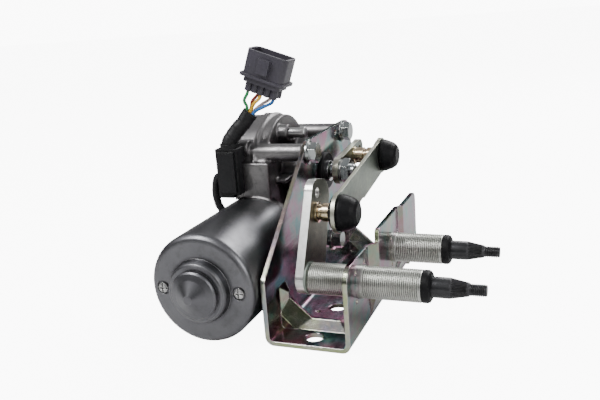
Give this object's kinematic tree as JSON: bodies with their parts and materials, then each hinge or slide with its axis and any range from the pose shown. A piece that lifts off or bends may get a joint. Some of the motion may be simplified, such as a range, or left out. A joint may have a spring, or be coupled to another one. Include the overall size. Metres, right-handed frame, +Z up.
{
  "type": "windshield wiper drive",
  "caption": "Windshield wiper drive: pressed channel bracket, threaded wiper pivots, crank linkage, gear motor and wiring connector.",
  "frame": {"origin": "midway between the two floor mounting holes, on the underside of the bracket floor", "axes": "+X outward along the wiper pivots, +Y along the bracket from the driven pivot towards its far end, +Z up from the floor"},
  "size_m": [0.1615, 0.1672, 0.141],
  "materials": {
    "bracket_zinc": "glossy chromated zinc",
    "cast_alloy": "as-cast satin",
    "can_steel": "satin grey",
    "link_zinc": "dull greenish zinc",
    "lever_steel": "worn",
    "bright_zinc": "bright zinc",
    "stud_gold": "yellow chromate",
    "bolt_zinc": "yellow-green zinc",
    "screw_steel": "plain",
    "black_shaft": "black oxide",
    "black_rubber": "matte",
    "black_plastic": "satin",
    "grey_plastic": "satin",
    "white_plastic": "satin",
    "brown_plastic": "satin",
    "wires": "coloured insulation",
    "tape": "woven tape",
    "bronze": "sintered",
    "copper": "copper",
    "ferrite": "dark ferrite",
    "core_steel": "laminated",
    "ground_steel": "ground",
    "grey_seal": "matte"
  },
  "bodies": {
    "frame": {"bracket": "bracket_zinc", "gear_housing": "cast_alloy", "gear_cover": "cast_alloy", "cover_screws": "screw_steel", "vent_stub": "screw_steel", "motor_can": "can_steel", "bearing_cap": "can_steel", "through_bolts": "screw_steel", "field_magnets": "ferrite", "motor_rear_bush": "bronze", "motor_front_bush": "bronze", "worm_end_bush": "bronze", "brush_holder": "brown_plastic", "brushes": "ferrite", "output_bush": "bronze", "shaft_seal_washer": "black_rubber", "driven_sleeve": "bright_zinc", "driven_bushes": "bronze", "driven_seal_cap": "black_rubber", "driven_washer": "grey_seal", "idler_sleeve": "bright_zinc", "idler_bushes": "bronze", "idler_seal_cap": "black_rubber", "mounting_bolts": "bolt_zinc", "cable_cover": "black_plastic", "harness": "tape", "lead_wires": "wires", "connector_housing": "grey_plastic", "connector_terminals": "stud_gold"},
    "armature": {"armature_core": "core_steel", "armature_winding": "copper", "commutator": "copper", "worm_shaft": "ground_steel"},
    "output": {"worm_wheel": "white_plastic", "output_shaft": "ground_steel", "crank_arm": "link_zinc", "crank_lock_washer": "screw_steel", "crank_nut": "bolt_zinc", "upper_ball_stud": "stud_gold"},
    "link": {"link_arm": "link_zinc", "ball_sockets": "white_plastic", "ball_caps": "black_rubber", "ball_seals": "black_rubber", "lower_ball_stud": "stud_gold"},
    "driven": {"drive_lever": "lever_steel", "driven_shaft": "black_shaft"},
    "idler": {"idler_shaft": "black_shaft", "idler_circlip": "screw_steel"}
  },
  "joints": [
    {"name": "motor_turn", "type": "hinge", "parent": "frame", "child": "armature", "pos_m": [-0.0515, -0.02725, 0.0298], "axis": [0, 1, 0], "range_deg": [0, 11130]},
    {"name": "crank_turn", "type": "hinge", "parent": "frame", "child": "output", "pos_m": [-0.0225, 0.06825, 0.0658], "axis": [1, 0, 0], "range_deg": [0, 185.6]},
    {"name": "link_swing", "type": "hinge", "parent": "output", "child": "link", "pos_m": [0.0103, 0.094, 0.06941], "axis": [1, 0, 0], "range_deg": [-180.1, 0]},
    {"name": "lever_swing", "type": "hinge", "parent": "frame", "child": "driven", "pos_m": [-0.0225, -0.00625, 0.0286], "axis": [1, 0, 0], "range_deg": [0, 101.2]},
    {"name": "idler_turn", "type": "hinge", "parent": "frame", "child": "idler", "pos_m": [-0.0225, 0.04575, 0.0286], "axis": [1, 0, 0], "continuous": true}
  ],
  "couplings": [
    {"joint": "crank_turn", "follows": "motor_turn", "ratio": 0.016667},
    {"joint": "lever_swing", "follows": "motor_turn", "ratio": 0.0090836},
    {"joint": "link_swing", "follows": "motor_turn", "ratio": -0.016173}
  ]
}
